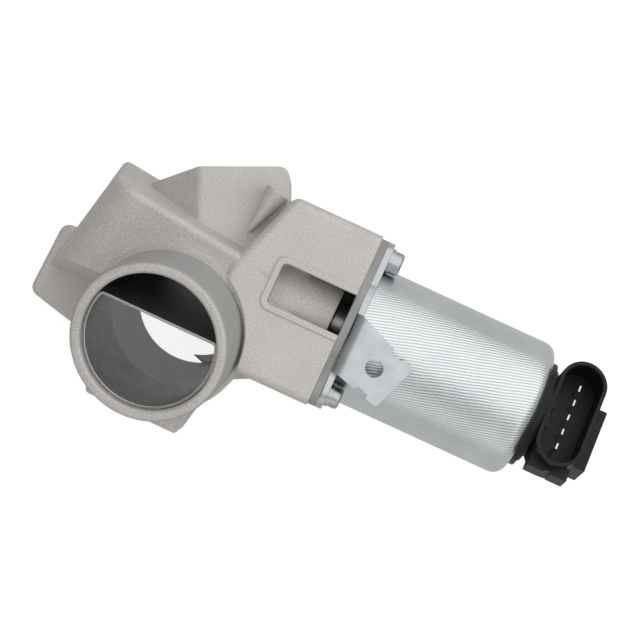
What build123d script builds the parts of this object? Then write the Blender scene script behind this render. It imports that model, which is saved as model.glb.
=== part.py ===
from build123d import *
import os
from math import cos, radians, sin, sqrt, tan

# Exhaust gas recirculation valve: a cast duct and valve housing with a solenoid actuator.
# X runs along the valve stem towards the connector, Y across the mounting flange and Z out of
# the flange. The origin is the centre of the air passage on the flange face.

# Driving dimensions, in millimetres and degrees

# Air pipe
pipe_tilt = 16.4
pipe_lean = 5.5
pipe_length = 83.7
pipe_bore_r = 25.3
pipe_wall = 4.1
spigot_length = 26.0
collar_height = 2.0
collar_step = 1.6
lip_round = 1.6
mouth_bevel = 0.8
rear_bore_r = 22.3
rear_lip = 10.0

# Mounting flange
flange_r = 33.5
flange_t = 15.0
lobe_reach = 62.0
lobe_top = 2.9
lobe_low = 27.0
lobe_slope = 4.5
lobe_lean = 1.3
lobe_root = 44.2
lobe_corner = 4.0
boss_r = 9.0
bolt_spacing = 93.0
bolt_x = -54.5
bolt_y = -8.0
bolt_r = 3.0
bolt_depth = 10.0
register_r = 28.4
register_depth = 4.0

# Stem axis and the casting's neck
axis_y = 11.0
axis_z = 40.0
interface_x = 53.3
neck_length = 35.0
neck_slant = 11.5
neck_front = 27.0
neck_back = 22.0
neck_above = 36.0
neck_below = 31.5
neck_round = 4.0
neck_edge = 3.2
lug_flange_t = 14.0
cast_round = 2.0

# Duct block behind the tilted front wall
block_left = 62.4
block_lean = 10.6
block_high = 35.4
ridge_drop = 6.4
block_low = 16.4
block_draft = 8.0
block_round = 13.0
block_corner = 2.5

# Exhaust inlet duct
inlet_angle = 24.5
inlet_reach = 47.5
inlet_shift = 16.4
inlet_width = 34.0
inlet_low = 4.0
inlet_front = 47.0
slope_run = 20.7
slope_drop = 20.0
slope_end_drop = 5.4
inlet_port_r = 8.0
inlet_port_depth = 16.0
inlet_bolt_pitch = 31.0
inlet_bolt_r = 2.5
inlet_bolt_depth = 11.0
feed_rise = 23.5

# Wedge rib between inlet duct and neck
rib_r = 4.5
rib_tip_r = 0.8
rib_right = 7.4
rib_reach = 35.1
rib_tip_right = 11.1
rib_tip_reach = 17.9
rib_z = 54.0

# Foot pad under the pipe
pad_width = 37.5
pad_root_width = 46.0
pad_depth = 5.8
pad_height = 20.0
pad_low = 16.0

# Window and lantern space round the stem guide
window_length = 29.0
window_below = 3.7
window_above = 12.4
window_corner = 1.8
window_rim = 2.4
window_rim_h = 0.5
window_rim_corner = 3.6
lantern_r = 21.5
lantern_depth = 19.0
guide_body_r = 17.0
guide_gap = 4.6

# Valve
seat_x = 20.8
seat_t = 4.0
seat_outer_r = 12.5
seat_bore_r = 9.0
seat_bevel = 1.6
outlet_r = 10.5
outlet_reach = 22.0
chamber_r = 12.7
chamber_length = 11.5
feed_height = 18.0
poppet_r = 11.3
poppet_t = 3.4
stem_r = 3.0
rod_r = 2.2
valve_lift = 5.0
bush_wall = 2.2

# Actuator stack
gasket_t = 3.0
bracket_t = 2.5
screw_count = 3
screw_circle_r = 31.5
screw_angle = 21.0
lug_r = 6.4
screw_r = 2.5
screw_bite = 12.0
screw_head_r = 4.4
screw_head_h = 3.8
screw_washer_r = 4.75
screw_washer_t = 1.4
screw_head_round = 1.4
socket_r = 1.7
socket_lobe_r = 0.7
socket_depth = 2.0
can_r = 26.6
can_wall = 1.5
can_length = 72.0
can_round = 5.0
plate_t = 5.0
bearing_r = 8.0
bearing_reach = 4.0
seal_t = 2.4
seal_wall = 3.0
sleeve_seat = 2.5
tube_wall = 1.1
bobbin_wall = 1.6
bobbin_flange_t = 2.2
bobbin_margin = 0.6
winding_margin = 0.9
coil_length = 50.0
armature_r = 9.4
armature_length = 18.0
armature_gap = 7.0
core_clearance = 2.0
core_head_r = 14.0
core_head_t = 2.5
spring_well_r = 6.0
spring_well_depth = 8.0
spring_wire_r = 0.6
spring_coil_r = 4.7
spring_turns = 7

# Tongue of the bracket
tongue_skew = 20.0
tongue_length = 22.4
tongue_root = 23.3
tongue_tip = 19.4
tongue_offset = -5.0
tongue_hole_r = 3.3
tongue_hole_reach = 12.0
tongue_notch_reach = 14.5
tongue_notch_width = 5.0
tongue_notch_depth = 2.0
tongue_corner = 1.6
tongue_bend = 4.6

# Connector cap
cap_r = 20.7
cap_t = 2.4
cap_step_r = 18.4
cap_step_t = 1.4
cap_neck_r = 16.0
cap_neck_t = 2.0
plug_r = 13.4
plug_reach = 8.0
sensor_bore_r = 8.5
sensor_depth = 13.5
connector_turn = 20.0
connector_offset = 12.9
shroud_length = 42.6
shroud_width = 18.1
shroud_wall = 1.4
shroud_reach = 18.2
socket_floor = 4.5
connector_low = 11.0
shroud_low = 1.0
shroud_stem_length = 29.0
key_r = 1.3
key_places = (0.0, -7.4)
key_setback = 1.0
latch_length = 25.0
latch_shift = 1.9
latch_t = 5.0
latch_low = 8.0
latch_high = 6.0
loop_length = 15.5
loop_t = 2.4
loop_low = 6.0
loop_high = 14.0
loop_slot_length = 2.6
loop_slot_t = 0.8
pin_count = 5
pin_pitch = 6.1
pin_width = 2.4
pin_t = 0.7
pin_reach = 8.5
pin_root = 4.0
cap_seal_r = 16.2
cap_seal_section_r = 0.8

# Position sensor
rod_reach = 1.5
wiper_t = 1.0
wiper_width = 4.0
plunger_r = 4.6
plunger_t = 4.0
board_t = 1.2
board_top = 7.0
board_length = 13.0
sensor_wire_r = 0.35
sensor_coil_r = 3.2
sensor_turns = 4

# Air sleeve
air_sleeve_t = 0.9
air_sleeve_length = 34.0
air_sleeve_inset = 2.6
air_plate_length = 64.0
air_plate_margin = 1.5
air_sleeve_chord = 9.8
air_sleeve_corner = 2.0

# Fits
press_gap = 0.02
slide_gap = 0.06
stem_gap = 0.03
loose_gap = 0.3
seat_gap = 0.1

# Places worked out from the driving dimensions
pipe_outer_r = pipe_bore_r + pipe_wall
barrel_r = pipe_outer_r + collar_step
pipe_way = Vector(-tan(radians(pipe_lean)), -tan(radians(pipe_tilt)), 1).normalized()
pipe_plane = Plane(origin=(0, 0, 0), x_dir=Vector(0, 1, 0).cross(pipe_way), z_dir=pipe_way)
front_reach = pipe_length - spigot_length
front_plane = pipe_plane.offset(front_reach)
through = 2 * pipe_length
stem_plane = Plane(origin=(0, axis_y, axis_z), x_dir=(0, 1, 0), z_dir=(1, 0, 0))
neck_left = interface_x - neck_length
seat_end = seat_x + seat_t
chamber_end = seat_end + chamber_length
guide_end = interface_x - guide_gap
guide_start = chamber_end
guide_bore_r = stem_r + bush_wall
bracket_x = interface_x + gasket_t
can_x = bracket_x + bracket_t
can_end = can_x + can_length
can_bore_r = can_r - can_wall
bearing_x = interface_x - bearing_reach
coil_x = can_x + plate_t
coil_end = coil_x + coil_length
flux_end = coil_end + plate_t
tube_bore_r = armature_r + slide_gap
tube_outer_r = tube_bore_r + tube_wall
tube_x = coil_x - sleeve_seat
bobbin_bore_r = tube_outer_r + slide_gap
bobbin_tube_r = bobbin_bore_r + bobbin_wall
bobbin_flange_r = can_bore_r - bobbin_margin
winding_r = bobbin_flange_r - winding_margin
armature_x = coil_x + armature_gap
armature_end = armature_x + armature_length
well_floor = armature_end - spring_well_depth
core_x = armature_end + valve_lift + core_clearance
core_well_floor = core_x + spring_well_depth
core_end = flux_end + core_head_t
rod_end = core_end + rod_reach
plunger_x = rod_end + wiper_t
plunger_end = plunger_x + plunger_t
plug_start = can_end - plug_reach
sensor_end = plug_start + sensor_depth
cap_end = can_end + cap_t
inlet_lean = radians(inlet_angle)
inlet_plane = Plane(
    origin=(0, 0, 0),
    x_dir=(-cos(inlet_lean), -sin(inlet_lean), 0),
    z_dir=(-sin(inlet_lean), cos(inlet_lean), 0),
)
inlet_z = (inlet_low + inlet_front) / 2
turn = radians(connector_turn)
connector_x = can_end + connector_offset
connector_plane = Plane(
    origin=(connector_x, axis_y, axis_z), x_dir=(1, 0, 0), z_dir=(0, sin(turn), cos(turn))
)
tongue_z = axis_z + can_r + loose_gap
standing = (Align.CENTER, Align.CENTER, Align.MIN)

os.makedirs("parts", exist_ok=True)


def disc(radius, start, end, mode=Mode.ADD):
    """A round step on the stem axis between two places along X."""
    with Locations(stem_plane.offset(start)):
        Cylinder(radius, end - start, align=standing, mode=mode)


def screw_holes(radius, start, end):
    """Holes for the actuator screws between two places along X."""
    with Locations(stem_plane.offset(start)):
        with PolarLocations(screw_circle_r, screw_count, start_angle=screw_angle):
            Cylinder(radius, end - start, align=standing, mode=Mode.SUBTRACT)


def circles(builder, radius):
    """Round edges of one radius."""
    round_edges = builder.edges().filter_by(GeomType.CIRCLE)
    return round_edges.filter_by(lambda edge: abs(edge.radius - radius) < press_gap)


def write(builder, label):
    """Label a finished piece and write it to its own file."""
    builder.part.label = label
    export_step(builder.part, f"parts/{label}.step")


# Outline of gasket and bracket: three screw lugs round the can's foot
with BuildSketch(stem_plane) as lug_outline:
    with PolarLocations(screw_circle_r, screw_count, start_angle=screw_angle):
        Circle(lug_r)
    make_hull()
    Circle(can_r + loose_gap)

# Casting: duct block behind the tilted front wall
block_right = neck_left + 3 * neck_round
with BuildPart() as duct_block:
    with BuildSketch():
        with BuildLine():
            Polyline(
                (-block_left, -block_low),
                (block_right, -block_low),
                (block_right, block_high - ridge_drop),
                (neck_left - neck_slant, block_high - ridge_drop),
                (-block_left + block_lean, block_high),
                close=True,
            )
        make_face()
    extrude(amount=pipe_length, taper=block_draft)
    split(bisect_by=front_plane, keep=Keep.BOTTOM)
    front_wall = duct_block.faces().sort_by(Axis.Z)[-1]
    fillet(front_wall.edges().sort_by(Axis.X)[0], block_round)
    ridge_wall = duct_block.faces().sort_by(Axis.Y)[-1]
    fillet(ridge_wall.edges().sort_by(Axis.X)[:2], block_corner)

# Casting: foot pad under the pipe, cut off flush with the front wall
front_centre = pipe_plane.from_local_coords((0, 0, front_reach))
barrel_low = pipe_plane.from_local_coords((0, -barrel_r, front_reach))
pad_bottom = barrel_low.Y - pad_depth
pad_x = front_centre.X
with BuildPart() as foot_pad:
    with BuildSketch(Plane.XY.offset(pad_low)):
        with BuildLine():
            Polyline(
                (pad_x - pad_width / 2, pad_bottom),
                (pad_x + pad_width / 2, pad_bottom),
                (pad_x + pad_root_width / 2, pad_bottom + pad_height),
                (pad_x - pad_root_width / 2, pad_bottom + pad_height),
                close=True,
            )
        make_face()
    extrude(amount=through)
    split(bisect_by=front_plane, keep=Keep.BOTTOM)
    fillet(foot_pad.faces().sort_by(Axis.Y)[0].edges(), cast_round)

# Casting: neck that carries the actuator, slanted on its left side
with BuildPart() as neck_block:
    with BuildSketch(Plane.XY.offset(axis_z - neck_back)):
        with BuildLine():
            Polyline(
                (neck_left - neck_slant, axis_y + neck_round),
                (neck_left, axis_y + neck_above),
                (interface_x, axis_y + neck_above),
                (interface_x, axis_y - neck_below),
                (neck_left - neck_round, axis_y - neck_below),
                (neck_left - neck_slant, axis_y - neck_round),
                close=True,
            )
        make_face()
    extrude(amount=neck_front + neck_back)
    fillet(neck_block.edges().filter_by(Axis.Z).sort_by(Axis.X)[:4], neck_round)
    neck_face = neck_block.faces().sort_by(Axis.Z)[-1]
    fillet(neck_face.edges().sort_by(Axis.X)[:-1], neck_edge)

# Casting: exhaust inlet duct with a flat end face and one sloping side
inlet_right = -inlet_shift - inlet_width / 2
inlet_left = -inlet_shift + inlet_width / 2
slope_left = inlet_left + slope_run
with BuildPart() as inlet_duct:
    with BuildSketch(inlet_plane):
        with BuildLine():
            Polyline(
                (inlet_right, inlet_low),
                (inlet_right, inlet_front),
                (inlet_left, inlet_front),
                (slope_left, inlet_front - slope_drop),
                (slope_left, inlet_low),
                close=True,
            )
        make_face()
    extrude(amount=inlet_reach)
    with BuildSketch():
        with BuildLine():
            Polyline(
                inlet_plane.from_local_coords((inlet_left, 0, inlet_reach)),
                inlet_plane.from_local_coords((slope_left, 0, inlet_reach)),
                inlet_plane.from_local_coords((slope_left, 0, inlet_reach - slope_end_drop)),
                close=True,
            )
        make_face()
    extrude(amount=through, mode=Mode.SUBTRACT)
    fillet(inlet_duct.edges().filter_by(Axis.Z).sort_by(Axis((0, 0, 0), (1, 1, 0)))[-1], neck_round)
    inlet_face = inlet_duct.faces().sort_by(Axis.Z)[-1]
    fillet(inlet_face.edges().sort_by(Axis.X)[0], neck_round)

# Casting: tapered half-round rib between inlet duct and neck
rib_start = Vector(neck_left - rib_right, axis_y + rib_reach, rib_z)
rib_end = Vector(neck_left - rib_tip_right, axis_y + rib_tip_reach, rib_z)
rib_plane = Plane(origin=rib_start, x_dir=(0, 0, 1), z_dir=rib_end - rib_start)
rib_length = (rib_end - rib_start).length
with BuildPart() as wedge_rib:
    with Locations(rib_plane):
        Cone(rib_r, rib_tip_r, rib_length, align=standing)
    with BuildSketch(rib_plane):
        with BuildLine():
            Polyline(
                (0, -rib_r),
                (0, rib_r),
                (inlet_low - rib_z, rib_r),
                (inlet_low - rib_z, -rib_r),
                close=True,
            )
        make_face()
    with BuildSketch(rib_plane.offset(rib_length)):
        with BuildLine():
            Polyline(
                (0, -rib_tip_r),
                (0, rib_tip_r),
                (inlet_low - rib_z, rib_tip_r),
                (inlet_low - rib_z, -rib_tip_r),
                close=True,
            )
        make_face()
    loft()

# Casting: barrel round the air passage, its collar and the hose spigot
with BuildPart() as pipe_barrel:
    with Locations(pipe_plane.offset(-barrel_r)):
        Cylinder(barrel_r, barrel_r + front_reach + collar_height, align=standing)
    with Locations(pipe_plane):
        Cylinder(pipe_outer_r, pipe_length, align=standing)
    split(bisect_by=Plane.XY, keep=Keep.TOP)
    pipe_mouth = pipe_barrel.edges().filter_by(GeomType.CIRCLE).sort_by(Axis.Z)[-1]
    fillet(pipe_mouth, lip_round)

# Bent way of the exhaust gas from the inlet face to the valve chamber
chamber_mid = (seat_end + chamber_end) / 2
feed_start = inlet_plane.from_local_coords((-inlet_shift, inlet_z, inlet_reach - inlet_port_depth))
feed_end = Vector(chamber_mid, axis_y + feed_rise, axis_z)
feed_plane = Plane(origin=feed_start, z_dir=feed_end - feed_start)
feed_length = (feed_end - feed_start).length

with BuildPart() as housing:
    with BuildSketch() as flange_lobe:
        with BuildLine():
            Polyline(
                (-lobe_reach, lobe_top),
                (-lobe_reach - lobe_lean, -lobe_low),
                (-lobe_root, -lobe_low - lobe_slope),
                (0, -flange_r),
                (0, lobe_top),
                close=True,
            )
        make_face()
        fillet(flange_lobe.vertices().sort_by(Axis.X)[:2], lobe_corner)
    extrude(amount=flange_t)
    fillet(housing.faces().sort_by(Axis.Z)[-1].edges().sort_by(Axis.X)[:3], cast_round)
    with BuildSketch():
        Circle(flange_r)
        with Locations((bolt_x + bolt_spacing, bolt_y)):
            Circle(boss_r)
        make_hull()
    extrude(amount=flange_t)
    add(duct_block.part)
    add(foot_pad.part)
    add(neck_block.part)
    add(inlet_duct.part)
    add(wedge_rib.part)
    # The spigot is turned clear of the neck, down to its collar
    with Locations(front_plane.offset(collar_height)):
        Cylinder(barrel_r, pipe_length, align=standing, mode=Mode.SUBTRACT)
    add(pipe_barrel.part)
    lug_flange = lug_outline.sketch.moved(Location((interface_x - lug_flange_t, 0, 0)))
    extrude(lug_flange, amount=lug_flange_t, dir=(1, 0, 0))
    # Lantern space round the stem guide, open to the window with its raised rim
    window_y = axis_y + (window_above - window_below) / 2
    with BuildSketch(Plane.XY.offset(axis_z + neck_front)):
        with Locations((interface_x, window_y)):
            rim_height = window_above + window_below + 2 * window_rim
            RectangleRounded(2 * (window_length + window_rim), rim_height, window_rim_corner)
        with Locations((interface_x, window_y)):
            Rectangle(through, through, align=(Align.MIN, Align.CENTER), mode=Mode.SUBTRACT)
    extrude(amount=window_rim_h)
    disc(lantern_r, interface_x - lantern_depth, interface_x, Mode.SUBTRACT)
    with BuildSketch(Plane.XY.offset(axis_z)):
        with Locations((interface_x, window_y)):
            RectangleRounded(2 * window_length, window_above + window_below, window_corner)
    extrude(amount=neck_front + cast_round, mode=Mode.SUBTRACT)
    disc(guide_body_r, interface_x - window_length - window_corner, guide_end)
    # Air passage and the round register in the flange face
    with Locations(pipe_plane.offset(-barrel_r)):
        Cylinder(rear_bore_r, barrel_r + rear_lip, align=standing, mode=Mode.SUBTRACT)
    with Locations(pipe_plane.offset(rear_lip)):
        Cylinder(pipe_bore_r, pipe_length - rear_lip, align=standing, mode=Mode.SUBTRACT)
    with Locations((0, 0, 0)):
        Cylinder(register_r, register_depth, align=standing, mode=Mode.SUBTRACT)
    # Valve chamber, seat pocket, outlet and guide bore
    disc(outlet_r, seat_x - outlet_reach, seat_x, Mode.SUBTRACT)
    disc(seat_outer_r, seat_x, seat_end, Mode.SUBTRACT)
    disc(chamber_r, seat_end, chamber_end, Mode.SUBTRACT)
    disc(guide_bore_r, guide_start, guide_end, Mode.SUBTRACT)
    # Exhaust way and the threaded holes of its flange
    with Locations(inlet_plane.offset(inlet_reach - inlet_port_depth)):
        with Locations((-inlet_shift, inlet_z)):
            Cylinder(inlet_port_r, inlet_port_depth, align=standing, mode=Mode.SUBTRACT)
            Sphere(inlet_port_r, mode=Mode.SUBTRACT)
    with Locations(feed_plane):
        Cylinder(inlet_port_r, feed_length, align=standing, mode=Mode.SUBTRACT)
    with Locations((chamber_mid, axis_y + feed_rise / 2, axis_z)):
        Box(chamber_length, feed_rise, feed_height, mode=Mode.SUBTRACT)
    with Locations(inlet_plane.offset(inlet_reach - inlet_bolt_depth)):
        with Locations((-inlet_shift, inlet_z)):
            with GridLocations(0, inlet_bolt_pitch, 1, 2):
                Cylinder(inlet_bolt_r, inlet_bolt_depth, align=standing, mode=Mode.SUBTRACT)
    # Threaded holes of the flange and of the actuator screws
    with Locations((bolt_x, bolt_y), (bolt_x + bolt_spacing, bolt_y)):
        Cylinder(bolt_r, bolt_depth, align=standing, mode=Mode.SUBTRACT)
    screw_holes(screw_r + stem_gap, interface_x - screw_bite - screw_r, interface_x)
    chamfer(circles(housing, pipe_bore_r).sort_by(Axis.Z)[-1], mouth_bevel)

# D-shaped sheet sleeve that keeps air and exhaust gas apart in the spigot
air_sleeve_r = pipe_bore_r - loose_gap
with BuildPart() as air_sleeve:
    with BuildSketch(pipe_plane.offset(pipe_length - air_sleeve_inset - air_sleeve_length)) as sleeve_section:
        Circle(air_sleeve_r)
        with Locations((0, air_sleeve_chord)):
            Rectangle(through, pipe_bore_r, align=(Align.CENTER, Align.MIN), mode=Mode.SUBTRACT)
        fillet(sleeve_section.vertices(), air_sleeve_corner)
        offset(amount=-air_sleeve_t, mode=Mode.SUBTRACT)
    extrude(amount=air_sleeve_length)
    plate_half = sqrt(air_sleeve_r**2 - air_sleeve_chord**2) - air_plate_margin
    with Locations(pipe_plane.offset(pipe_length - air_sleeve_inset - air_plate_length)):
        with Locations((0, air_sleeve_chord - air_sleeve_t / 2)):
            Box(2 * plate_half, air_sleeve_t, air_plate_length, align=standing)

# Valve seat ring
with BuildPart() as valve_seat:
    disc(seat_outer_r - press_gap, seat_x, seat_end)
    disc(seat_bore_r, seat_x, seat_end, Mode.SUBTRACT)
    chamfer(circles(valve_seat, seat_bore_r).sort_by(Axis.X)[-1], seat_bevel)

# Poppet and stem in one piece, with the thin rod that reaches the sensor
poppet_x = seat_end - seat_bevel / 2 + seat_gap
with BuildPart() as valve_stem:
    disc(poppet_r, poppet_x, poppet_x + poppet_t)
    chamfer(valve_stem.edges().sort_by(Axis.X)[0], seat_bevel)
    disc(stem_r, poppet_x, well_floor)
    disc(rod_r, well_floor, rod_end)
    fillet(circles(valve_stem, stem_r).sort_by(Axis.X)[0], stem_r)

# Stem bearing in the casting
with BuildPart() as guide_bush:
    disc(guide_bore_r - press_gap, guide_start, guide_end)
    disc(stem_r + stem_gap, guide_start, guide_end, Mode.SUBTRACT)

# Heat barrier between casting and actuator
with BuildPart() as insulating_gasket:
    extrude(lug_outline.sketch.moved(Location((interface_x, 0, 0))), amount=gasket_t, dir=(1, 0, 0))
    disc(bearing_r + loose_gap, interface_x, bracket_x, Mode.SUBTRACT)
    screw_holes(screw_r + loose_gap, interface_x, bracket_x)

# Bracket plate with the tongue folded over the can
tongue_mid = axis_y + tongue_offset
skew = radians(tongue_skew)
tongue_plane = Plane(origin=(can_x, tongue_mid, 0), x_dir=(cos(skew), -sin(skew), 0), z_dir=(0, 0, 1))
with BuildPart() as mounting_bracket:
    extrude(lug_outline.sketch.moved(Location((bracket_x, 0, 0))), amount=bracket_t, dir=(1, 0, 0))
    with Locations((bracket_x, tongue_mid, axis_z + bearing_r)):
        web_height = tongue_z + bracket_t - axis_z - bearing_r
        Box(bracket_t, tongue_root, web_height, align=(Align.MIN, Align.CENTER, Align.MIN))
    with BuildSketch(Plane.XY.offset(tongue_z)) as tongue:
        with BuildLine():
            Polyline(
                (bracket_x, tongue_mid + tongue_root / 2),
                (can_x, tongue_mid + tongue_root / 2),
                tongue_plane.from_local_coords((tongue_length, tongue_tip / 2, 0)),
                tongue_plane.from_local_coords((tongue_length, -tongue_tip / 2, 0)),
                (can_x, tongue_mid - tongue_root / 2),
                (bracket_x, tongue_mid - tongue_root / 2),
                close=True,
            )
        make_face()
        fillet(tongue.vertices().sort_by(Axis.X)[-2:], tongue_corner)
    extrude(amount=bracket_t)
    with BuildSketch(tongue_plane.offset(tongue_z)):
        with Locations((tongue_hole_reach, 0)):
            Circle(tongue_hole_r)
        for side in (-1, 1):
            with Locations((tongue_notch_reach, side * tongue_root / 2)):
                Rectangle(tongue_notch_width, tongue_notch_depth + tongue_root - tongue_tip)
    extrude(amount=bracket_t, mode=Mode.SUBTRACT)
    bend_edge = mounting_bracket.faces().sort_by(Axis.Z)[-1].edges().sort_by(Axis.X)[0]
    fillet(bend_edge, tongue_bend)
    disc(bearing_r + slide_gap, bracket_x, can_x, Mode.SUBTRACT)
    screw_holes(screw_r + loose_gap, bracket_x, can_x)

# Pan-head screws with a six-lobe socket
with BuildPart() as actuator_screws:
    with Locations(stem_plane.offset(can_x)):
        with PolarLocations(screw_circle_r, screw_count, start_angle=screw_angle):
            Cylinder(screw_head_r, screw_washer_t + screw_head_h, align=standing)
    fillet(actuator_screws.edges().group_by(Axis.X)[-1], screw_head_round)
    with Locations(stem_plane.offset(can_x)):
        with PolarLocations(screw_circle_r, screw_count, start_angle=screw_angle):
            Cylinder(screw_washer_r, screw_washer_t, align=standing)
    with Locations(stem_plane.offset(can_x + screw_washer_t + screw_head_h - socket_depth)):
        with PolarLocations(screw_circle_r, screw_count, start_angle=screw_angle):
            Cylinder(socket_r, socket_depth, align=standing, mode=Mode.SUBTRACT)
            with PolarLocations(socket_r, 6):
                Cylinder(socket_lobe_r, socket_depth, align=standing, mode=Mode.SUBTRACT)
    with Locations(stem_plane.offset(interface_x - screw_bite)):
        with PolarLocations(screw_circle_r, screw_count, start_angle=screw_angle):
            Cylinder(screw_r, can_x - interface_x + screw_bite, align=standing)

# Front plate of the magnet with the bearing that reaches through bracket and gasket
with BuildPart() as pole_plate:
    disc(can_bore_r - press_gap, can_x, coil_x)
    disc(bearing_r, bearing_x, can_x)
    disc(stem_r + seal_wall, bearing_x, bearing_x + seal_t, Mode.SUBTRACT)
    disc(guide_bore_r, bearing_x + seal_t, tube_x, Mode.SUBTRACT)
    disc(tube_outer_r, tube_x, coil_x, Mode.SUBTRACT)

with BuildPart() as stem_bush:
    disc(guide_bore_r - press_gap, bearing_x + seal_t, tube_x)
    disc(stem_r + stem_gap, bearing_x + seal_t, tube_x, Mode.SUBTRACT)

with BuildPart() as stem_seal:
    disc(stem_r + seal_wall - press_gap, bearing_x, bearing_x + seal_t)
    disc(stem_r + stem_gap, bearing_x, bearing_x + seal_t, Mode.SUBTRACT)

# Deep-drawn can, open towards the casting
with BuildPart() as solenoid_can:
    disc(can_r, can_x, can_end)
    fillet(solenoid_can.edges().sort_by(Axis.X)[-1], can_round)
    offset(amount=-can_wall, openings=solenoid_can.faces().sort_by(Axis.X)[0])
    disc(plug_r + slide_gap, can_end - can_wall, can_end, Mode.SUBTRACT)

# Magnet inside the can
with BuildPart() as armature_sleeve:
    disc(tube_outer_r - press_gap, tube_x, flux_end)
    disc(tube_bore_r, tube_x, flux_end, Mode.SUBTRACT)

with BuildPart() as coil_bobbin:
    disc(bobbin_tube_r, coil_x, coil_end)
    disc(bobbin_flange_r, coil_x, coil_x + bobbin_flange_t)
    disc(bobbin_flange_r, coil_end - bobbin_flange_t, coil_end)
    disc(bobbin_bore_r, coil_x, coil_end, Mode.SUBTRACT)

with BuildPart() as coil_winding:
    disc(winding_r, coil_x + bobbin_flange_t, coil_end - bobbin_flange_t)
    disc(bobbin_tube_r, coil_x + bobbin_flange_t, coil_end - bobbin_flange_t, Mode.SUBTRACT)

with BuildPart() as flux_plate:
    disc(can_bore_r - press_gap, coil_end, flux_end)
    disc(tube_outer_r, coil_end, flux_end, Mode.SUBTRACT)

with BuildPart() as pole_core:
    disc(tube_bore_r - press_gap, core_x, flux_end)
    disc(core_head_r, flux_end, core_end)
    disc(spring_well_r, core_x, core_well_floor, Mode.SUBTRACT)
    disc(rod_r + loose_gap, core_well_floor, core_end, Mode.SUBTRACT)

with BuildPart() as armature:
    disc(armature_r, armature_x, armature_end)
    disc(spring_well_r, well_floor, armature_end, Mode.SUBTRACT)
    disc(stem_r, armature_x, well_floor, Mode.SUBTRACT)


def coil_spring(wire_r, coil_r, turns, start, end):
    """A round-wire spring on the stem axis that just fits between two faces."""
    height = end - start - 2 * wire_r - 2 * stem_gap
    rise = Helix(height / turns, height, coil_r)
    section = Plane(origin=rise @ 0, z_dir=rise % 0)
    with BuildPart() as spring:
        with BuildSketch(section) as wire:
            Circle(wire_r)
        sweep(wire.sketch, path=rise)
    return stem_plane.offset(start + wire_r + stem_gap).location * spring.part


with BuildPart() as return_spring:
    add(coil_spring(spring_wire_r, spring_coil_r, spring_turns, well_floor, core_well_floor))

# Connector cap with its shroud turned about the stem axis
with BuildPart() as connector_cap:
    disc(cap_r, can_end, cap_end)
    disc(cap_step_r, cap_end, cap_end + cap_step_t)
    disc(cap_neck_r, cap_end + cap_step_t, cap_end + cap_step_t + cap_neck_t)
    disc(plug_r, plug_start, can_end)
    with BuildSketch(connector_plane.offset(-connector_low)):
        SlotOverall(shroud_stem_length, shroud_width, rotation=90)
    extrude(amount=connector_low)
    with BuildSketch(connector_plane.offset(-shroud_low)):
        SlotOverall(shroud_length, shroud_width, rotation=90)
    extrude(amount=shroud_low + shroud_reach)
    with Locations(connector_plane):
        with Locations((shroud_width / 2, -latch_shift, -latch_low)):
            Box(2 * latch_t, latch_length, latch_low + latch_high, align=standing)
        with Locations((0, -shroud_length / 2, loop_low)):
            Box(loop_length, 2 * loop_t, loop_high - loop_low, align=standing)
        with Locations((0, -shroud_length / 2 - loop_t, loop_low)):
            Box(loop_slot_length, 2 * loop_slot_t, loop_high - loop_low, align=standing, mode=Mode.SUBTRACT)
    with BuildSketch(connector_plane.offset(socket_floor)):
        SlotOverall(shroud_length - 2 * shroud_wall, shroud_width - 2 * shroud_wall, rotation=90)
    extrude(amount=shroud_reach - socket_floor, mode=Mode.SUBTRACT)
    with Locations(connector_plane.offset(socket_floor)):
        with Locations([(shroud_wall - shroud_width / 2, place) for place in key_places]):
            Cylinder(key_r, shroud_reach - socket_floor - key_setback, align=standing)
    with Locations(connector_plane.offset(-pin_root)):
        with GridLocations(0, pin_pitch, 1, pin_count):
            Box(pin_t, pin_width, pin_root + socket_floor, align=standing, mode=Mode.SUBTRACT)
    disc(cap_seal_r + cap_seal_section_r, can_end, can_end + 2 * cap_seal_section_r, Mode.SUBTRACT)
    disc(cap_seal_r - cap_seal_section_r, can_end, can_end + 2 * cap_seal_section_r)
    disc(sensor_bore_r, plug_start, sensor_end, Mode.SUBTRACT)

with BuildPart() as terminal_pins:
    with Locations(connector_plane.offset(-pin_root)):
        with GridLocations(0, pin_pitch, 1, pin_count):
            Box(pin_t, pin_width, pin_root + socket_floor + pin_reach, align=standing)

with BuildPart() as cap_seal:
    with Locations(stem_plane.offset(can_end + cap_seal_section_r)):
        Torus(cap_seal_r, cap_seal_section_r - press_gap)

# Position sensor in the cap
board_half = sqrt((sensor_bore_r - slide_gap) ** 2 - board_top**2)
with BuildPart() as sensor_board:
    with Locations((sensor_end, axis_y, axis_z + board_top - board_t)):
        Box(board_length, 2 * board_half, board_t, align=(Align.MAX, Align.CENTER, Align.MIN))

with BuildPart() as sensor_wiper:
    disc(plunger_r, rod_end, plunger_x)
    with Locations((rod_end, axis_y, axis_z)):
        finger = board_top - board_t - loose_gap
        Box(wiper_t, wiper_width, finger, align=(Align.MIN, Align.CENTER, Align.MIN))

with BuildPart() as sensor_plunger:
    disc(plunger_r, plunger_x, plunger_end)

with BuildPart() as sensor_spring:
    add(coil_spring(sensor_wire_r, sensor_coil_r, sensor_turns, plunger_end, sensor_end))

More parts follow.
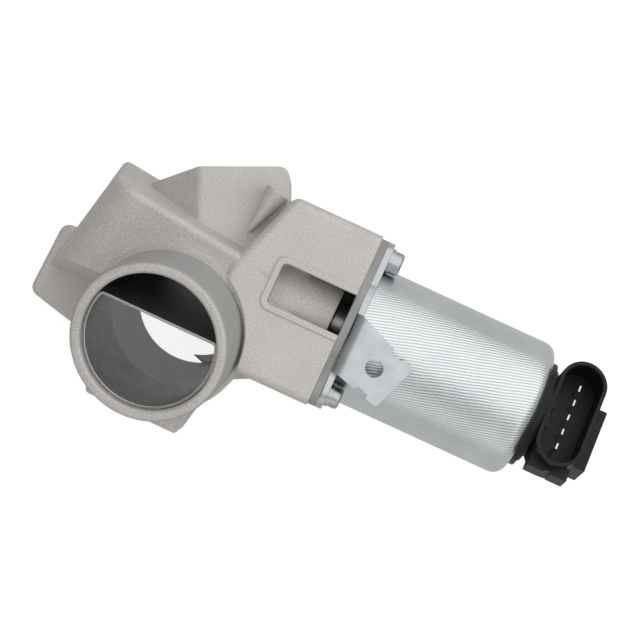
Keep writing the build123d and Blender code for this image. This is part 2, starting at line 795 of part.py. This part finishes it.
write(housing, "housing")
write(air_sleeve, "air_sleeve")
write(valve_seat, "valve_seat")
write(valve_stem, "valve_stem")
write(guide_bush, "guide_bush")
write(insulating_gasket, "insulating_gasket")
write(mounting_bracket, "mounting_bracket")
write(actuator_screws, "actuator_screws")
write(pole_plate, "pole_plate")
write(stem_bush, "stem_bush")
write(stem_seal, "stem_seal")
write(solenoid_can, "solenoid_can")
write(armature_sleeve, "armature_sleeve")
write(coil_bobbin, "coil_bobbin")
write(coil_winding, "coil_winding")
write(flux_plate, "flux_plate")
write(pole_core, "pole_core")
write(armature, "armature")
write(return_spring, "return_spring")
write(connector_cap, "connector_cap")
write(terminal_pins, "terminal_pins")
write(cap_seal, "cap_seal")
write(sensor_board, "sensor_board")
write(sensor_wiper, "sensor_wiper")
write(sensor_plunger, "sensor_plunger")
write(sensor_spring, "sensor_spring")
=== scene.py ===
from math import cos, pi, radians, sin, tan

import bpy
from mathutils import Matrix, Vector


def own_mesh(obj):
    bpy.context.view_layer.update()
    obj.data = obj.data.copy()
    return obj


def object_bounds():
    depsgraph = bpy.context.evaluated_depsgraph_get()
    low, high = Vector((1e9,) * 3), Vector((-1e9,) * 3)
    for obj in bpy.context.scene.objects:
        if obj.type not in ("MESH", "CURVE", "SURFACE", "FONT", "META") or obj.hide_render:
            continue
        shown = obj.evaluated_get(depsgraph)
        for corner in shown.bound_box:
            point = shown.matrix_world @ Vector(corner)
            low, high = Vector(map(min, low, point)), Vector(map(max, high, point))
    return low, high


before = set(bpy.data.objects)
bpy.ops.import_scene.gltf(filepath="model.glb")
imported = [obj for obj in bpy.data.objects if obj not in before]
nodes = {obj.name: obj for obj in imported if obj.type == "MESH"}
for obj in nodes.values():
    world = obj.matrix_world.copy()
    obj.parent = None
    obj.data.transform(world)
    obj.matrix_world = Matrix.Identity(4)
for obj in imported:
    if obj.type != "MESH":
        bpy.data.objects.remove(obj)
cad_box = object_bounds()
scene = bpy.context.scene
scene.view_settings.view_transform = "Standard"

# Stem axis, can and valve, in metres
stem_y = 0.011
stem_z = 0.040
can_r = 0.0266

# Lines round the can
line_slant = radians(17)
line_pitch = 0.0011
line_wobble = 0.0009
line_middle = 0.05
line_fade = (1.0, 0.55)

# Air pipe: its axis, and the bands over which the casting's finish, painted light and painted shade
# change, in metres
pipe_tilt = radians(16.4)
pipe_lean = radians(5.5)
pipe_way = Vector((-tan(pipe_lean), -tan(pipe_tilt), 1)).normalized()
pipe_side = Vector((0, 1, 0)).cross(pipe_way).normalized()
pipe_high = pipe_way.cross(pipe_side)
spigot_inner_band = (0.0286, 0.0292)
spigot_outer_band = (0.0300, 0.0297)
collar_band = (0.0596, 0.0600)
# The pipe's inner walls inside these two bands get painted light, partly their bare machined metal
bore_band = (0.0264, 0.0260)
mouth_band = (0.0822, 0.0800)
# Band above the sleeve where the pipe's inner walls get painted near-black shade
painted_shade_band = (0.0075, 0.0105)

# Edge finish
edge_samples = 4
edge_band = (0.985, 0.8)

# Floor, background and lamps
floor_size = 6
floor_gap = 0.0002
floor_grey = (0.38, 0.38, 0.38, 1)
floor_glow = 0.85
floor_mirrored = 0.5
world_level = 0.2
world_seen = 0.8
world_mirrored = 0.3
lamp_target = (0.04, 0.0, 0.04)
key_place = (0.30, 0.45, 0.82)
key_size = (1.8, 2.1)
key_power = 11
fill_place = (0.20, -0.97, 0.56)
fill_size = (1.6, 0.9)
fill_power = 2.2

# Camera
camera_place = (0.0449, 0.0097, 0.757)
camera_turn = radians(24.7)
camera_lens = 106.9
camera_sensor = 36
camera_near = 0.01


def new_material(name):
    """A material with a principled shader, ready for more nodes."""
    material = bpy.data.materials.new(name)
    material.use_nodes = True
    tree = material.node_tree
    shader = tree.nodes["Principled BSDF"]
    return material, tree, shader


def node(tree, kind, **values):
    """A node with its properties, or its inputs by name, set."""
    made = tree.nodes.new(kind)
    for key, value in values.items():
        if key in made.inputs:
            made.inputs[key].default_value = value
        else:
            setattr(made, key, value)
    return made


def connect(tree, value, socket):
    """Link a node's output to a socket, or set the socket to a constant."""
    if isinstance(value, bpy.types.NodeSocket):
        tree.links.new(value, socket)
    else:
        socket.default_value = value


def coords(tree, scale=(1, 1, 1), rotation=(0, 0, 0)):
    """Object coordinates in metres, stretched for grain along one way."""
    place = node(tree, "ShaderNodeTexCoord")
    mapping = node(tree, "ShaderNodeMapping", Scale=scale, Rotation=rotation)
    tree.links.new(place.outputs["Object"], mapping.inputs["Vector"])
    return mapping.outputs["Vector"]


def noise(tree, vector, scale, detail, roughness):
    """A noise value at a number of waves per metre."""
    made = node(tree, "ShaderNodeTexNoise", Scale=scale, Detail=detail, Roughness=roughness)
    tree.links.new(vector, made.inputs["Vector"])
    return made.outputs["Fac"]


def ramp(tree, value, stops):
    """Colour stops over a 0 to 1 value."""
    made = node(tree, "ShaderNodeValToRGB")
    points = made.color_ramp.elements
    while len(points) < len(stops):
        points.new(0.5)
    for point, (place, colour) in zip(points, stops):
        point.position = place
        point.color = (*colour, 1)
    tree.links.new(value, made.inputs["Fac"])
    return made.outputs["Color"]


def mix(tree, factor, first, second, blend="MIX"):
    """Two colours mixed by a factor."""
    made = node(tree, "ShaderNodeMix", data_type="RGBA", blend_type=blend)
    connect(tree, factor, made.inputs[0])
    for socket, value in ((6, first), (7, second)):
        colour = value if isinstance(value, bpy.types.NodeSocket) else (*value, 1)
        connect(tree, colour, made.inputs[socket])
    return made.outputs[2]


def span(tree, value, low, high):
    """A 0 to 1 value spread between two limits."""
    made = node(tree, "ShaderNodeMapRange")
    made.inputs["To Min"].default_value = low
    made.inputs["To Max"].default_value = high
    tree.links.new(value, made.inputs["Value"])
    return made.outputs["Result"]


def step(tree, value, start, end):
    """A smooth step from 0 at one value to 1 at another."""
    made = node(tree, "ShaderNodeMapRange", interpolation_type="SMOOTHSTEP")
    made.inputs["From Min"].default_value = start
    made.inputs["From Max"].default_value = end
    tree.links.new(value, made.inputs["Value"])
    return made.outputs["Result"]


def maths(tree, operation, first, second=0.0):
    """One sum with two values or sockets."""
    made = node(tree, "ShaderNodeMath", operation=operation)
    connect(tree, first, made.inputs[0])
    connect(tree, second, made.inputs[1])
    return made.outputs[0]


def dot(tree, vector, way):
    """How far a point lies along one direction."""
    made = node(tree, "ShaderNodeVectorMath", operation="DOT_PRODUCT")
    tree.links.new(vector, made.inputs[0])
    connect(tree, way, made.inputs[1])
    return made.outputs["Value"]


def soft_normal(tree, edge_r):
    """The surface's direction with its edges a little rounded."""
    return node(tree, "ShaderNodeBevel", samples=edge_samples, Radius=edge_r).outputs["Normal"]


def bump(tree, shader, height, strength, distance, edge_r=0.0004):
    """Fine relief over edges that are a little rounded."""
    made = node(tree, "ShaderNodeBump", Strength=strength, Distance=distance)
    tree.links.new(soft_normal(tree, edge_r), made.inputs["Normal"])
    tree.links.new(height, made.inputs["Height"])
    tree.links.new(made.outputs["Normal"], shader.inputs["Normal"])


def wear(tree, colour, worn, edge_r):
    """Another colour along the edges."""
    shape = node(tree, "ShaderNodeNewGeometry")
    level = dot(tree, soft_normal(tree, edge_r), shape.outputs["Normal"])
    return mix(tree, step(tree, level, *edge_band), colour, worn)


def pipe_masks(tree):
    """1 on the spigot's turned wall, on the pipe's inner walls, which get painted light, and on those
    above the sleeve, which get painted shade.
    """
    place = node(tree, "ShaderNodeTexCoord").outputs["Object"]
    along = dot(tree, place, pipe_way)
    high = dot(tree, place, pipe_high)
    beside = dot(tree, place, pipe_side)
    squares = maths(tree, "ADD", maths(tree, "POWER", high, 2.0), maths(tree, "POWER", beside, 2.0))
    off = maths(tree, "SQRT", squares)
    outer = step(tree, off, *spigot_outer_band)
    wall = maths(tree, "MULTIPLY", step(tree, off, *spigot_inner_band), outer)
    spigot = maths(tree, "MULTIPLY", wall, step(tree, along, *collar_band))
    # Painted light: the pipe's inner walls, made lighter than the casting, partly their bare machined
    # metal
    painted_light_walls = maths(tree, "MULTIPLY", step(tree, off, *bore_band), step(tree, along, *mouth_band))
    # Painted shade: the inner walls above the sleeve, painted near-black
    painted_shade = maths(tree, "MULTIPLY", painted_light_walls, step(tree, high, *painted_shade_band))
    return spigot, painted_light_walls, painted_shade


def cast_aluminium():
    """Grainy casting, turned smooth on the spigot, with painted light on the pipe's inner walls
    (partly their bare machined metal) and painted near-black shade above the sleeve.
    """
    material, tree, shader = new_material("cast_aluminium")
    at = coords(tree)
    speckle = noise(tree, at, scale=2000, detail=3.0, roughness=0.75)
    cloud = noise(tree, at, scale=60, detail=3.0, roughness=0.5)
    warm = ramp(tree, cloud, [(0.3, (0.68, 0.655, 0.615)), (0.7, (0.74, 0.71, 0.68))])
    grain = ramp(tree, speckle, [(0.3, (0.62, 0.62, 0.62)), (0.7, (1.23, 1.23, 1.23))])
    colour = mix(tree, 0.9, warm, grain, "MULTIPLY")
    colour = wear(tree, colour, worn=(0.70, 0.68, 0.65), edge_r=0.0008)
    spigot, painted_light_walls, painted_shade = pipe_masks(tree)
    colour = mix(tree, spigot, colour, (0.47, 0.465, 0.455))
    # Painted light on the pipe's inner walls, partly their bare machined metal
    colour = mix(tree, painted_light_walls, colour, (0.86, 0.85, 0.83))
    # Painted near-black shade above the sleeve
    colour = mix(tree, painted_shade, colour, (0.012, 0.011, 0.010))
    tree.links.new(colour, shader.inputs["Base Color"])
    shader.inputs["Metallic"].default_value = 0.35
    tree.links.new(span(tree, speckle, 0.52, 0.72), shader.inputs["Roughness"])
    bump(tree, shader, speckle, strength=0.4, distance=0.0003, edge_r=0.0008)
    return material


def sheet_steel():
    """Stained stainless sheet with bright cut edges."""
    material, tree, shader = new_material("sheet_steel")
    at = coords(tree, scale=(1, 1, 0.15), rotation=(radians(-18), 0, 0))
    streak = noise(tree, at, scale=900, detail=3.0, roughness=0.6)
    stain = noise(tree, coords(tree), scale=90, detail=4.0, roughness=0.6)
    colour = ramp(tree, stain, [(0.3, (0.21, 0.21, 0.21)), (0.7, (0.30, 0.30, 0.296))])
    colour = wear(tree, colour, worn=(0.9, 0.9, 0.89), edge_r=0.0008)
    tree.links.new(colour, shader.inputs["Base Color"])
    shader.inputs["Metallic"].default_value = 0.9
    tree.links.new(span(tree, streak, 0.28, 0.5), shader.inputs["Roughness"])
    bump(tree, shader, streak, strength=0.15, distance=0.0001)
    return material


def can_lines(tree):
    """Waves from -1 to 1 along slanted lines round the can, strongest on its front."""
    place = node(tree, "ShaderNodeTexCoord")
    parts = node(tree, "ShaderNodeSeparateXYZ")
    tree.links.new(place.outputs["Object"], parts.inputs[0])
    across = maths(tree, "SUBTRACT", parts.outputs["Y"], stem_y)
    up = maths(tree, "SUBTRACT", parts.outputs["Z"], stem_z)
    angle = maths(tree, "ARCTAN2", across, up)
    round_way = maths(tree, "MULTIPLY", angle, can_r * cos(line_slant))
    along = maths(tree, "MULTIPLY", parts.outputs["X"], -sin(line_slant))
    phase = maths(tree, "ADD", round_way, along)
    wobble = noise(tree, coords(tree), scale=120, detail=3.0, roughness=0.5)
    phase = maths(tree, "ADD", phase, maths(tree, "MULTIPLY", wobble, line_wobble))
    wave = maths(tree, "SINE", maths(tree, "MULTIPLY", phase, 2 * pi / line_pitch))
    patch = noise(tree, coords(tree, scale=(1, 3, 3)), scale=45, detail=3.0, roughness=0.6)
    turn = maths(tree, "ABSOLUTE", maths(tree, "SUBTRACT", angle, line_middle))
    strength = maths(tree, "MULTIPLY", step(tree, turn, *line_fade), span(tree, patch, 0.35, 1.0))
    return maths(tree, "MULTIPLY", wave, strength)


def drawn_can():
    """Zinc plate with the fine slanted lines that working leaves round the can."""
    material, tree, shader = new_material("drawn_can")
    lined = can_lines(tree)
    shade = node(tree, "ShaderNodeMapRange")
    shade.inputs["From Min"].default_value = -1.0
    tree.links.new(lined, shade.inputs["Value"])
    stain = noise(tree, coords(tree), scale=70, detail=4.0, roughness=0.6)
    colour = ramp(tree, stain, [(0.3, (0.53, 0.56, 0.57)), (0.7, (0.61, 0.63, 0.635))])
    stops = [(0.0, (0.5, 0.5, 0.5)), (0.5, (1, 1, 1)), (1.0, (1.35, 1.35, 1.35))]
    lines = ramp(tree, shade.outputs["Result"], stops)
    colour = mix(tree, 1.0, colour, lines, "MULTIPLY")
    tree.links.new(colour, shader.inputs["Base Color"])
    shader.inputs["Metallic"].default_value = 1.0
    tree.links.new(span(tree, stain, 0.24, 0.4), shader.inputs["Roughness"])
    bump(tree, shader, lined, strength=0.2, distance=0.0002)
    return material


def zinc_plate(name, light, dark, rough):
    """Cloudy zinc plating with brighter edges."""
    material, tree, shader = new_material(name)
    cloud = noise(tree, coords(tree), scale=160, detail=4.0, roughness=0.6)
    grain = noise(tree, coords(tree), scale=1800, detail=3.0, roughness=0.6)
    colour = ramp(tree, cloud, [(0.3, dark), (0.7, light)])
    colour = wear(tree, colour, worn=(0.8, 0.82, 0.83), edge_r=0.0004)
    tree.links.new(colour, shader.inputs["Base Color"])
    shader.inputs["Metallic"].default_value = 1.0
    tree.links.new(span(tree, grain, rough - 0.07, rough + 0.1), shader.inputs["Roughness"])
    bump(tree, shader, grain, strength=0.12, distance=0.0001)
    return material


def moulded(name, colour, worn, rough):
    """Plastic, rubber or board with a fine grain and another tone along its edges."""
    material, tree, shader = new_material(name)
    grain = noise(tree, coords(tree), scale=2200, detail=3.0, roughness=0.6)
    cloud = noise(tree, coords(tree), scale=80, detail=3.0, roughness=0.5)
    lighter = tuple(1.5 * value for value in colour)
    paint = ramp(tree, cloud, [(0.3, colour), (0.75, lighter)])
    paint = wear(tree, paint, worn, edge_r=0.0003)
    shader.inputs["Specular IOR Level"].default_value = 0.25
    tree.links.new(paint, shader.inputs["Base Color"])
    tree.links.new(span(tree, grain, rough - 0.08, rough + 0.12), shader.inputs["Roughness"])
    bump(tree, shader, grain, strength=0.12, distance=0.0001)
    return material


def turned(name, light, dark, rough=0.3):
    """Turned metal with faint rings along the stem axis."""
    material, tree, shader = new_material(name)
    rings = noise(tree, coords(tree, scale=(20, 1, 1)), scale=260, detail=3.0, roughness=0.6)
    colour = ramp(tree, rings, [(0.3, dark), (0.7, light)])
    tree.links.new(colour, shader.inputs["Base Color"])
    shader.inputs["Metallic"].default_value = 1.0
    tree.links.new(span(tree, rings, rough - 0.06, rough + 0.12), shader.inputs["Roughness"])
    bump(tree, shader, rings, strength=0.1, distance=0.0001)
    return material


casting = cast_aluminium()
sheet = sheet_steel()
can = drawn_can()
plate = zinc_plate("zinc_plate", (0.47, 0.495, 0.505), (0.38, 0.405, 0.415), 0.32)
screw = zinc_plate("screw_zinc", (0.48, 0.49, 0.50), (0.34, 0.35, 0.36), 0.28)
board = moulded("gasket_board", (0.33, 0.33, 0.325), (0.12, 0.12, 0.12), 0.55)
plastic = moulded("black_plastic", (0.006, 0.0065, 0.007), (0.05, 0.05, 0.052), 0.4)
rubber = moulded("rubber", (0.012, 0.012, 0.012), (0.04, 0.04, 0.04), 0.7)
track = moulded("sensor_track", (0.02, 0.06, 0.03), (0.1, 0.16, 0.1), 0.4)
steel = turned("turned_steel", (0.56, 0.55, 0.54), (0.4, 0.4, 0.39))
iron = turned("soft_iron", (0.42, 0.41, 0.40), (0.3, 0.295, 0.29), 0.36)
bronze = turned("bronze", (0.50, 0.34, 0.16), (0.36, 0.24, 0.11), 0.4)
copper = turned("copper_wire", (0.52, 0.2, 0.08), (0.30, 0.11, 0.045), 0.34)
tin = turned("tinned_blade", (0.78, 0.76, 0.71), (0.62, 0.6, 0.55), 0.24)

node_materials = {
    "housing": casting,
    "air_sleeve": sheet,
    "valve_seat": steel,
    "valve_stem": steel,
    "guide_bush": bronze,
    "insulating_gasket": board,
    "mounting_bracket": plate,
    "actuator_screws": screw,
    "pole_plate": iron,
    "stem_bush": bronze,
    "stem_seal": rubber,
    "solenoid_can": can,
    "armature_sleeve": sheet,
    "coil_bobbin": plastic,
    "coil_winding": copper,
    "flux_plate": iron,
    "pole_core": iron,
    "armature": iron,
    "return_spring": steel,
    "connector_cap": plastic,
    "terminal_pins": tin,
    "cap_seal": rubber,
    "sensor_board": track,
    "sensor_wiper": tin,
    "sensor_plunger": plastic,
    "sensor_spring": steel,
}
for name, material in node_materials.items():
    mesh = nodes[name].data
    mesh.materials.clear()
    mesh.materials.append(material)

# Springs get meshes of their own
for name in ("return_spring", "sensor_spring"):
    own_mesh(nodes[name])

# Floor under the flange, white to the camera, paler to reflections, with the object's shadow kept
bpy.ops.mesh.primitive_plane_add(size=floor_size, location=(0, 0, cad_box[0][2] - floor_gap))
floor = bpy.context.object
floor.name = "floor"
paper, tree, shader = new_material("floor_paper")
shader.inputs["Base Color"].default_value = floor_grey
shader.inputs["Roughness"].default_value = 1.0
shader.inputs["Specular IOR Level"].default_value = 0.0
path = node(tree, "ShaderNodeLightPath")
mirrored = maths(tree, "MULTIPLY", path.outputs["Is Glossy Ray"], floor_mirrored)
seen = maths(tree, "MAXIMUM", path.outputs["Is Camera Ray"], mirrored)
glow = node(tree, "ShaderNodeEmission")
tree.links.new(maths(tree, "MULTIPLY", seen, floor_glow), glow.inputs["Strength"])
both = node(tree, "ShaderNodeAddShader")
tree.links.new(shader.outputs[0], both.inputs[0])
tree.links.new(glow.outputs[0], both.inputs[1])
tree.links.new(both.outputs[0], tree.nodes["Material Output"].inputs["Surface"])
floor.data.materials.append(paper)

# Soft studio light all round, white to the camera
world = bpy.data.worlds.new("studio")
scene.world = world
world.use_nodes = True
tree = world.node_tree
background = tree.nodes["Background"]
background.inputs["Color"].default_value = (1, 1, 1, 1)
path = node(tree, "ShaderNodeLightPath")
seen = maths(tree, "MULTIPLY", path.outputs["Is Camera Ray"], world_seen)
mirrored = maths(tree, "MULTIPLY", path.outputs["Is Glossy Ray"], world_mirrored)
level = maths(tree, "ADD", maths(tree, "ADD", seen, mirrored), world_level)
tree.links.new(level, background.inputs["Strength"])


def soft_box(name, place, size, power):
    """A rectangular lamp aimed at the object."""
    lamp = bpy.data.lights.new(name, "AREA")
    lamp.shape = "RECTANGLE"
    lamp.size, lamp.size_y = size
    lamp.energy = power
    made = bpy.data.objects.new(name, lamp)
    scene.collection.objects.link(made)
    made.location = place
    aim = bpy.data.objects.new(name + "_aim", None)
    aim.location = lamp_target
    scene.collection.objects.link(aim)
    track_to = made.constraints.new("TRACK_TO")
    track_to.target = aim
    track_to.track_axis = "TRACK_NEGATIVE_Z"
    track_to.up_axis = "UP_Y"


soft_box("key_box", key_place, key_size, key_power)
soft_box("fill_box", fill_place, fill_size, fill_power)

# Camera at the photo's angle: straight down on the neck, turned in the picture plane
lens = bpy.data.cameras.new("camera")
lens.sensor_width = camera_sensor
lens.lens = camera_lens
lens.clip_start = camera_near
camera = bpy.data.objects.new("camera", lens)
scene.collection.objects.link(camera)
camera.location = camera_place
camera.rotation_euler = (0, 0, camera_turn)
scene.camera = camera
